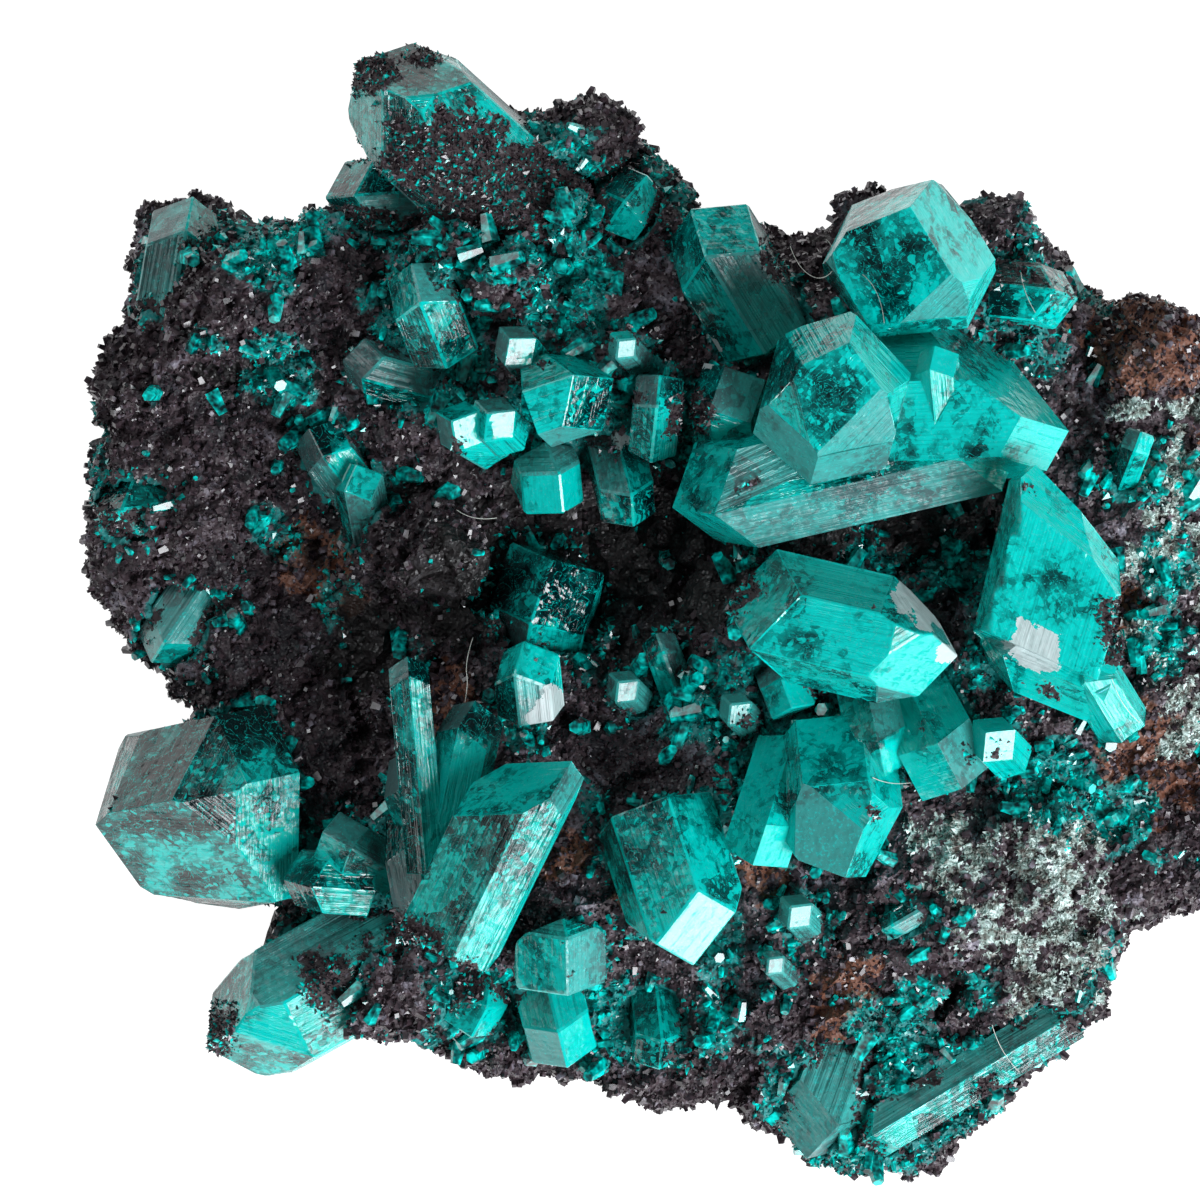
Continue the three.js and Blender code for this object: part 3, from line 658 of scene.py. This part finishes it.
# Grains of one kind, grown as tiny crystals: each grain its own shade, with faces smooth enough to glint.
def grain_material(name, stops, roughness, ior):
    material, tree = new_material(name)
    place = add_node(tree, "ShaderNodeTexCoord").outputs["Object"]
    shade = add_node(
        tree, "ShaderNodeTexNoise", {"Vector": place, "Scale": 1 / (0.7 * MM), "Detail": 2, "Roughness": 0.8}
    ).outputs["Fac"]
    colour = add_node(tree, "ShaderNodeValToRGB", {"Fac": shade}, stops=stops).outputs["Color"]
    surface = add_node(
        tree, "ShaderNodeBsdfPrincipled", {"Base Color": colour, "Roughness": roughness, "IOR": ior}
    ).outputs["BSDF"]
    add_node(tree, "ShaderNodeOutputMaterial", {"Surface": surface})
    return material


# Matt board lit from below, as on a light table: an even white ground with hardly a shadow.
def board_material(settings, name="matt_board"):
    material, tree = new_material(name)
    place = add_node(tree, "ShaderNodeTexCoord").outputs["Object"]
    tooth = add_node(tree, "ShaderNodeTexNoise", {"Vector": place, "Scale": 1 / (0.8 * MM)}).outputs["Fac"]
    bumped = add_node(
        tree, "ShaderNodeBump", {"Height": tooth, "Strength": 0.1, "Distance": 0.05 * MM}
    ).outputs["Normal"]
    surface = add_node(
        tree,
        "ShaderNodeBsdfPrincipled",
        {
            "Base Color": (*settings.floor_colour, 1),
            "Roughness": 0.95,
            "Normal": bumped,
            "Emission Color": (1, 1, 1, 1),
            "Emission Strength": settings.glow,
        },
    ).outputs["BSDF"]
    add_node(tree, "ShaderNodeOutputMaterial", {"Surface": surface})
    return material


def rock_mesh(settings):
    """The matrix with its sockets closed, broken into angular blocks and knobs, flat below."""
    shape = merged_node(ROCK_NODE)
    for point in shape.verts:
        point.co += point.normal * settings.closing
    plain = bpy.data.meshes.new("rock_shape")
    shape.to_mesh(plain)
    shape.free()
    holder = linked_object("rock_shape", plain)
    remesh = holder.modifiers.new("Even mesh", "REMESH")
    remesh.mode = "VOXEL"
    remesh.voxel_size = settings.voxel
    mesh = evaluated_mesh(holder, ROCK_PIECE)
    points = mesh_points(mesh)
    relief = BLOCK_HEIGHT * facets(points, settings.block_size, salt=20)
    relief += KNOB_HEIGHT * facets(points, settings.knob_size, salt=40)
    relief += SKIN_HEIGHT * smooth_noise(points, SKIN_SIZE, salt=60)
    standing = fade(0.2 * MM, settings.foot, points[:, 2])
    points += point_normals(mesh) * (relief * standing)[:, None]
    points[:, 2] = np.maximum(points[:, 2], 0)
    set_points(mesh, points)
    return mesh


def colour_rock(mesh):
    """Writes where the rock is rusty, teal or pale, where it is painted near-black as shade in its hollows
    and recesses, and where each kind of grain grows on it.
    """
    points = mesh_points(mesh)
    shapes = bmesh.new()
    for name in CRYSTAL_NODES:
        shapes.from_mesh(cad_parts[name].data)
    near = distances(BVHTree.FromBMesh(shapes), points)
    shapes.free()
    covered = 1 - fade(0.15 * MM, 0.5 * MM, near)
    beside = 1 - fade(0.5 * MM, 1.6 * MM, near)
    above = fade(1.4 * MM, 3 * MM, points[:, 2])
    free = (1 - covered) * above
    level = fade(0.4, 0.8, point_normals(mesh)[:, 2])
    scattered = fade(0.25, 0.6, smooth_noise(points, 3.2 * MM, salt=75))
    veined = smooth_noise(points, 0.9 * MM, salt=85) + 0.5 * smooth_noise(points, 0.45 * MM, salt=88)
    pale = patch_share(points, PALE_PATCHES, salt=80) * fade(-0.2, 0.55, veined)
    # Painted shade: points sunk below their surroundings, and those in the listed hollows, are coloured
    # near-black and get fewer grains.
    recess_shade = recess_share(points, 0.5 * MM, 2.5 * MM)
    hollow = np.maximum(patch_share(points, PAINTED_SHADE_HOLLOWS, salt=95), 0.9 * recess_shade)
    teal = np.maximum(patch_share(points, TEAL_PATCHES, salt=70), covered)
    teal = np.maximum(teal, 0.5 * scattered) * (1 - 0.6 * pale) * (1 - hollow)
    druse = free * np.clip(teal + 0.4 * beside, 0.03, 1)
    shares = {
        "rust": patch_share(points, RUST_PATCHES, salt=90),
        "teal": teal,
        "pale": pale,
        "hollow": hollow,
        "brown_grains": free * (1 - 0.7 * pale) * (1 - 0.5 * teal) * (1 - 0.93 * hollow),
        "teal_grains": druse,
        "sprigs": druse * level,
        "pale_grains": free * np.maximum(pale - 0.05, 0),
    }
    for name, values in shares.items():
        set_attribute(mesh, name, values)


def cut_ribs(shape, face, lengthways, settings):
    """Cuts a prism face into fine ridges and furrows that run along the crystal."""
    outward = face.normal.copy()
    across = outward.cross(lengthways).normalized()
    reach = sorted(vert.co.dot(across) for vert in face.verts)
    pieces = [face]
    level = reach[0]
    number = 0
    while True:
        cell = [[number, int(reach[0] / settings.rib), int(reach[-1] / settings.rib)]]
        chance = lattice(np.array(cell), salt=6)[0]
        level += settings.rib * (0.45 + 1.1 * chance)
        number += 1
        if level > reach[-1] - settings.rib / 4:
            return
        edges = {edge for piece in pieces for edge in piece.edges}
        verts = {vert for piece in pieces for vert in piece.verts}
        cut = bmesh.ops.bisect_plane(
            shape, geom=[*verts, *edges, *pieces], dist=CUT, plane_co=across * level, plane_no=across
        )
        pieces = [part for part in cut["geom"] if isinstance(part, bmesh.types.BMFace)]
        if number % 2:
            for part in cut["geom_cut"]:
                if isinstance(part, bmesh.types.BMVert):
                    part.co -= outward * settings.rib_depth * (0.35 + 0.65 * chance)


def crystal_mesh(name, settings):
    """A crystal with worn, ribbed faces of differing tone and painted highlights on its worn edges, cut into
    a fine grid that can carry its crust.
    """
    shape = merged_node(name)
    bmesh.ops.dissolve_limit(shape, angle_limit=FLAT_ANGLE, verts=shape.verts, edges=shape.edges)
    along = shape.faces.layers.float_vector.new("along")
    tone = shape.faces.layers.float.new("tone")
    ribbed = shape.faces.layers.float.new("ribbed")
    sheen = shape.faces.layers.float.new("sheen")
    brightness, dull = CRYSTAL_LOOKS.get(name, USUAL_LOOK)[::2]
    letters = sum(map(ord, name))
    for number, face in enumerate(shape.faces):
        longest = max(face.edges, key=lambda edge: edge.calc_length())
        face[along] = (longest.verts[1].co - longest.verts[0].co).normalized()
        tone_chance = lattice(np.array([[number, len(name), letters]]), salt=5)[0]
        face[tone] = brightness + FACE_SPREAD * (tone_chance - 0.5)
        # Chosen faces get the dull bloom and a painted greyish sheen.
        sheen_chance = lattice(np.array([[number, letters, len(name)]]), salt=8)[0]
        face[sheen] = 1.0 if sheen_chance < dull else 0.0
        slimness = longest.calc_length() ** 2 / face.calc_area()
        face[ribbed] = 0.15 + 0.85 * float(fade(1.2, 2.2, slimness))
    corners = [edge for edge in shape.edges if edge.is_manifold and edge.calc_face_angle() > CORNER_ANGLE]
    worn = bmesh.ops.bevel(
        shape, geom=corners, offset=settings.edge, segments=1, affect="EDGES", clamp_overlap=True, profile=0.5
    )
    # Painted highlight: the worn edge faces are coloured lighter, as rims that catch the light.
    for face in worn["faces"]:
        face[tone] += PAINTED_EDGE_HIGHLIGHT
        face[ribbed] = 0
    for face in [face for face in shape.faces if face[ribbed] > settings.ribbed_from]:
        cut_ribs(shape, face, Vector(face[along]), settings)
    low, high = (np.array(corner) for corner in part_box(name))
    for axis in range(3):
        normal = Vector((0, 0, 0))
        normal[axis] = 1
        for level in np.arange(low[axis] + settings.grid / 2, high[axis], settings.grid):
            geometry = [*shape.verts, *shape.edges, *shape.faces]
            bmesh.ops.bisect_plane(shape, geom=geometry, dist=CUT, plane_co=normal * level, plane_no=normal)
    uv = shape.loops.layers.uv.new("stripes")
    for face in shape.faces:
        lengthways = Vector(face[along])
        across = face.normal.cross(lengthways)
        for loop in face.loops:
            loop[uv].uv = (loop.vert.co.dot(lengthways) / MM, loop.vert.co.dot(across) / MM)
    mesh = bpy.data.meshes.new(FINE_PREFIX + name)
    shape.to_mesh(mesh)
    shape.free()
    return mesh


def crust_crystal(mesh, name, rock, settings):
    """Writes how much brown crust lies on each point of a crystal, where grains grow on it, how far each
    point lies towards the light for its painted light, and where its white painted highlights lie.
    """
    points = mesh_points(mesh)
    away = distances(rock, points)
    amount = CRYSTAL_LOOKS.get(name, USUAL_LOOK)[1]
    ragged = smooth_noise(points, 1.5 * MM, salt=100) + 0.6 * smooth_noise(points, 0.6 * MM, salt=110)
    creeping = (1 - fade(0.1 * MM, settings.reach, away)) * (0.45 + 0.5 * ragged)
    spots = fade(0.95 - amount, 1.5 - amount, ragged)
    patches = patch_share(points, CRUST_PATCHES, salt=120)
    crust = np.clip(np.maximum.reduce([creeping, spots, patches]), 0, 1)
    middle, half = points.mean(axis=0), np.ptp(points, axis=0).max() / 2
    # Painted light: how far each point lies towards the light, which paints that side of the crystal
    # brighter.
    set_attribute(mesh, "lit", np.clip((points - middle) @ np.array(PAINTED_LIGHT_SIDE) / half, -1, 1))
    set_attribute(mesh, "crust", crust)
    # Painted highlight: white patches on the faces where they would mirror the light.
    set_attribute(mesh, "worn", patch_share(points, PAINTED_HIGHLIGHT_PATCHES, salt=130))
    set_attribute(mesh, "crust_grains", fade(0.3, 0.8, crust) * fade(0.05 * MM, 0.2 * MM, away))


def druse_tree():
    """Scatters small crystals over a surface where an attribute of it allows, and makes them real."""
    tree = bpy.data.node_groups.new("Druse", "GeometryNodeTree")
    inputs = [
        ("Geometry", "NodeSocketGeometry"),
        ("Density", "NodeSocketFloat"),
        ("Where", "NodeSocketString"),
        ("Smallest", "NodeSocketFloat"),
        ("Largest", "NodeSocketFloat"),
        ("Height", "NodeSocketFloat"),
        ("Top", "NodeSocketFloat"),
        ("Lean", "NodeSocketFloat"),
        ("Sides", "NodeSocketInt"),
        ("Seed", "NodeSocketInt"),
        ("Material", "NodeSocketMaterial"),
    ]
    for name, kind in inputs:
        tree.interface.new_socket(name, in_out="INPUT", socket_type=kind)
    tree.interface.new_socket("Geometry", in_out="OUTPUT", socket_type="NodeSocketGeometry")
    given = add_node(tree, "NodeGroupInput").outputs
    where = add_node(tree, "GeometryNodeInputNamedAttribute", {"Name": given["Where"]}, data_type="FLOAT")
    density = add_node(
        tree, "ShaderNodeMath", {0: where.outputs["Attribute"], 1: given["Density"]}, operation="MULTIPLY"
    )
    scatter = add_node(
        tree,
        "GeometryNodeDistributePointsOnFaces",
        {"Mesh": given["Geometry"], "Density": density.outputs[0], "Seed": given["Seed"]},
    )
    crystal = add_node(
        tree,
        "GeometryNodeMeshCone",
        {
            "Vertices": given["Sides"],
            "Side Segments": 1,
            "Radius Top": given["Top"],
            "Radius Bottom": 0.5,
            "Depth": given["Height"],
        },
        fill_type="NGON",
    )
    sunk = add_node(
        tree,
        "GeometryNodeTransform",
        {"Geometry": crystal.outputs["Mesh"], "Translation": (0, 0, -0.25)},
    )
    chance = add_node(
        tree,
        "FunctionNodeRandomValue",
        {2: 0.0, 3: 1.0, "Seed": given["Seed"]},
        data_type="FLOAT",
    )
    rare = add_node(tree, "ShaderNodeMath", {0: chance.outputs[1], 1: 2.5}, operation="POWER")
    size = add_node(
        tree,
        "ShaderNodeMapRange",
        {"Value": rare.outputs[0], "To Min": given["Smallest"], "To Max": given["Largest"]},
    )
    back = add_node(tree, "ShaderNodeMath", {0: given["Lean"], 1: -1.0}, operation="MULTIPLY")
    low = add_node(tree, "ShaderNodeCombineXYZ", {"X": back.outputs[0], "Y": back.outputs[0], "Z": 0.0})
    high = add_node(
        tree, "ShaderNodeCombineXYZ", {"X": given["Lean"], "Y": given["Lean"], "Z": 2 * math.pi}
    )
    turn = add_node(
        tree,
        "FunctionNodeRandomValue",
        {0: low.outputs[0], 1: high.outputs[0], "Seed": given["Seed"]},
        data_type="FLOAT_VECTOR",
    )
    lean = add_node(tree, "FunctionNodeEulerToRotation", {"Euler": turn.outputs[0]})
    turned = add_node(
        tree,
        "FunctionNodeRotateRotation",
        {"Rotation": scatter.outputs["Rotation"], "Rotate By": lean.outputs[0]},
        rotation_space="LOCAL",
    )
    placed = add_node(
        tree,
        "GeometryNodeInstanceOnPoints",
        {
            "Points": scatter.outputs["Points"],
            "Instance": sunk.outputs["Geometry"],
            "Rotation": turned.outputs[0],
            "Scale": size.outputs["Result"],
        },
    )
    real = add_node(tree, "GeometryNodeRealizeInstances", {"Geometry": placed.outputs["Instances"]})
    finished = add_node(
        tree, "GeometryNodeSetMaterial", {"Geometry": real.outputs["Geometry"], "Material": given["Material"]}
    )
    add_node(tree, "NodeGroupOutput", {"Geometry": finished.outputs["Geometry"]})
    return tree


def grown_area(mesh, where):
    """The surface's area, each face weighted by how much of it the attribute allows."""
    values = np.empty(len(mesh.vertices), dtype=np.float32)
    mesh.attributes[where].data.foreach_get("value", values)
    return sum(face.area * values[list(face.vertices)].mean() for face in mesh.polygons)


def grow_druse(name, surface, where, count, smallest, largest, material, slot, **shape):
    """Grows about that many small crystals on a surface and makes one piece of them."""
    tree = bpy.data.node_groups.get("Druse") or druse_tree()
    holder = linked_object(name + "_bed", surface.copy())
    modifier = holder.modifiers.new("Druse", "NODES")
    modifier.node_group = tree
    values = {
        "Density": count / max(grown_area(surface, where), 1e-9),
        "Where": where,
        "Smallest": smallest,
        "Largest": largest,
        "Height": shape.get("height", 1.0),
        "Top": shape.get("top", 0.35),
        "Lean": shape.get("lean", 0.7),
        "Sides": shape.get("sides", 4),
        "Seed": bpy.context.scene.dioptase.druse.seed,
        "Material": material,
    }
    for socket in tree.interface.items_tree:
        if socket.in_out == "INPUT" and socket.name in values:
            modifier[socket.identifier] = values[socket.name]
    place_piece(name, evaluated_mesh(holder, name), material)


def joined_crystals():
    """One mesh of all the finished crystals, as a bed for the grains that grow on them."""
    shape = bmesh.new()
    for name in CRYSTAL_NODES:
        shape.from_mesh(bpy.data.objects[FINE_PREFIX + name].data)
    mesh = bpy.data.meshes.new("crystal_bed")
    shape.to_mesh(mesh)
    shape.free()
    return mesh


def fibre_mesh(paths, radius):
    """Thin closed tubes along smooth curves through the given points."""
    curve = bpy.data.curves.new("lint_paths", "CURVE")
    curve.dimensions = "3D"
    curve.bevel_depth = radius
    curve.bevel_resolution = 1
    curve.use_fill_caps = True
    curve.resolution_u = 8
    for path in paths:
        spline = curve.splines.new("NURBS")
        spline.points.add(len(path) - 1)
        for point, place in zip(spline.points, path):
            point.co = (*(Vector(place) * MM), 1)
        spline.order_u = 3
        spline.use_endpoint_u = True
    return evaluated_mesh(linked_object("lint_paths", curve), "lint")


class DIOPTASE_OT_matrix(bpy.types.Operator):
    """Builds the drusy matrix over the frame's rock"""

    bl_idname = "dioptase.matrix"
    bl_label = "Matrix"

    def execute(self, context):
        settings = context.scene.dioptase.matrix
        mesh = rock_mesh(settings)
        colour_rock(mesh)
        place_piece(ROCK_PIECE, mesh, matrix_material(settings), [ROCK_NODE])
        return {"FINISHED"}


class DIOPTASE_OT_crystals(bpy.types.Operator):
    """Builds every dioptase crystal over its solid in the frame"""

    bl_idname = "dioptase.crystals"
    bl_label = "Crystals"

    def execute(self, context):
        settings = context.scene.dioptase.crystals
        material = dioptase_material(settings)
        shape = bmesh.new()
        shape.from_mesh(bpy.data.objects[ROCK_PIECE].data)
        rock = BVHTree.FromBMesh(shape)
        shape.free()
        for name in CRYSTAL_NODES:
            mesh = crystal_mesh(name, settings)
            crust_crystal(mesh, name, rock, settings)
            place_piece(FINE_PREFIX + name, mesh, material, [name])
        return {"FINISHED"}


class DIOPTASE_OT_druse(bpy.types.Operator):
    """Grows the brown, teal and pale grains on the matrix and the crystals"""

    bl_idname = "dioptase.druse"
    bl_label = "Druse"

    def execute(self, context):
        settings = context.scene.dioptase.druse
        gem = context.scene.dioptase.crystals
        stone = context.scene.dioptase.matrix
        browns = [(0.35, stone.dark), (0.55, stone.brown), (0.75, stone.grey)]
        teals = [(0.34, gem.deep), (0.44, gem.shade), (0.54, gem.teal), (0.68, gem.bright)]
        codes = [(0.36, 0x5A4E4A), (0.47, 0x929C96), (0.56, 0xBCD0CB), (0.68, 0xE8F2F2)]
        whites = [(place, linear(code)) for place, code in codes]
        rock_finish = (grain_material("matrix_grains", browns, roughness=0.24, ior=1.6), "matrix_rock")
        teal_finish = (grain_material("dioptase_grains", teals, roughness=0.12, ior=1.67), "dioptase")
        pale_finish = (grain_material("pale_crust", whites, roughness=0.5, ior=1.55), "matrix_rock")
        splinter = {"sides": 3, "top": 0.0}
        pointed = {"top": 0.0}
        prism = {"sides": 6, "height": 1.4, "top": 0.3, "lean": 0.9}
        rock = bpy.data.objects[ROCK_PIECE].data
        bed = joined_crystals()
        # Piece, bed, where on it, how many, smallest and largest in millimetres, finish and shape.
        layers = [
            ("matrix_blocks", rock, "brown_grains", settings.block_count, 0.16, 0.55, rock_finish, {}),
            ("matrix_grains", rock, "brown_grains", settings.grain_count, 0.12, 0.36, rock_finish, splinter),
            ("teal_grains", rock, "teal_grains", settings.teal_count, 0.14, 0.46, teal_finish, pointed),
            ("dioptase_sprigs", rock, "sprigs", settings.sprig_count, 0.35, 1.2, teal_finish, prism),
            ("pale_grains", rock, "pale_grains", settings.pale_count, 0.12, 0.42, pale_finish, splinter),
            ("crystal_crust", bed, "crust_grains", settings.crust_count, 0.12, 0.36, rock_finish, splinter),
            ("crystal_film", bed, "crust_grains", settings.film_count, 0.14, 0.42, teal_finish, pointed),
        ]
        for name, surface, where, count, smallest, largest, finish, shape in layers:
            grow_druse(name, surface, where, count, smallest * MM, largest * MM, *finish, **shape)
        bpy.data.meshes.remove(bed)
        return {"FINISHED"}


class DIOPTASE_OT_lint(bpy.types.Operator):
    """Lays the lint on the crystals"""

    bl_idname = "dioptase.lint"
    bl_label = "Lint"

    def execute(self, context):
        settings = context.scene.dioptase.lint
        colour = settings.colour
        shaded = [0.8 * channel for channel in colour]
        # Cotton lint: matt, nearly white fibres.
        material = grain_material("cotton_lint", [(0.3, shaded), (0.7, colour)], roughness=0.8, ior=1.53)
        place_piece("lint", fibre_mesh(LINT_PATHS, settings.radius), material)
        return {"FINISHED"}


class DIOPTASE_OT_stage(bpy.types.Operator):
    """Sets up the floor, the lights and the camera"""

    bl_idname = "dioptase.stage"
    bl_label = "Stage"

    def execute(self, context):
        settings = context.scene.dioptase.stage
        self.make_floor(settings)
        self.make_light("key", settings.key_power, 0.42, heading=-42, rise=33, away=0.62)
        self.make_light("fill", settings.fill_power, 0.5, heading=140, rise=36, away=0.7)
        world = bpy.data.worlds.new("white_surroundings")
        world.use_nodes = True
        background = world.node_tree.nodes["Background"]
        background.inputs["Color"].default_value = (1, 1, 1, 1)
        background.inputs["Strength"].default_value = settings.sky
        context.scene.world = world
        context.scene.view_settings.view_transform = "Standard"
        self.make_camera(settings)
        return {"FINISHED"}

    def make_floor(self, settings):
        """A wide matt sheet just under the specimen."""
        half = 4.0  # metres
        mesh = bpy.data.meshes.new("floor")
        corners = [(-half, -half, 0), (half, -half, 0), (half, half, 0), (-half, half, 0)]
        mesh.from_pydata(corners, [], [(0, 1, 2, 3)])
        floor = linked_object("floor", mesh)
        mesh.materials.append(board_material(settings))

    def make_light(self, name, power, width, heading, rise, away):
        """A square soft light that looks at the specimen."""
        data = bpy.data.lights.new(name, "AREA")
        data.energy = power
        data.size = width
        data.color = linear(0xF8FCFF)
        light = linked_object(name, data)
        turn, lift = math.radians(heading), math.radians(rise)
        aim = Vector((math.cos(lift) * math.cos(turn), math.cos(lift) * math.sin(turn), math.sin(lift)))
        light.location = PHOTO_MIDDLE + aim * away
        light.rotation_mode = "QUATERNION"
        light.rotation_quaternion = aim.to_track_quat("Z", "Y")
        light.visible_camera = False

    def make_camera(self, settings):
        """The photograph's view: straight down, with the photograph's width across the frame."""
        data = bpy.data.cameras.new("camera")
        data.lens = settings.lens
        data.sensor_width = 36
        camera = linked_object("camera", data)
        distance = PHOTO_WIDTH * data.lens / data.sensor_width
        camera.location = PHOTO_MIDDLE + Vector((0, 0, distance))
        data.clip_start = 0.05
        data.clip_end = 10
        bpy.context.scene.camera = camera


class DIOPTASE_PT_panel(bpy.types.Panel):
    """Lists the specimen's pieces and their settings"""

    bl_idname = "DIOPTASE_PT_panel"
    bl_label = "Dioptase Specimen"
    bl_space_type = "VIEW_3D"
    bl_region_type = "UI"
    bl_category = "Dioptase"

    def draw(self, context):
        settings = context.scene.dioptase
        for operator, group in PIECES:
            box = self.layout.box()
            box.operator(operator.bl_idname)
            own = getattr(settings, group)
            for name in own.__annotations__:
                box.prop(own, name)


PIECES = [
    (DIOPTASE_OT_matrix, "matrix"),
    (DIOPTASE_OT_crystals, "crystals"),
    (DIOPTASE_OT_druse, "druse"),
    (DIOPTASE_OT_lint, "lint"),
    (DIOPTASE_OT_stage, "stage"),
]
CLASSES = [
    MatrixSettings,
    CrystalSettings,
    DruseSettings,
    LintSettings,
    StageSettings,
    SpecimenSettings,
    *[operator for operator, group in PIECES],
    DIOPTASE_PT_panel,
]


def register():
    for kind in CLASSES:
        bpy.utils.register_class(kind)
    bpy.types.Scene.dioptase = bpy.props.PointerProperty(type=SpecimenSettings)


def unregister():
    del bpy.types.Scene.dioptase
    for kind in reversed(CLASSES):
        bpy.utils.unregister_class(kind)


def main():
    register()
    bpy.ops.dioptase.matrix()
    bpy.ops.dioptase.crystals()
    bpy.ops.dioptase.druse()
    bpy.ops.dioptase.lint()
    bpy.ops.dioptase.stage()


if __name__ == "__main__":
    main()
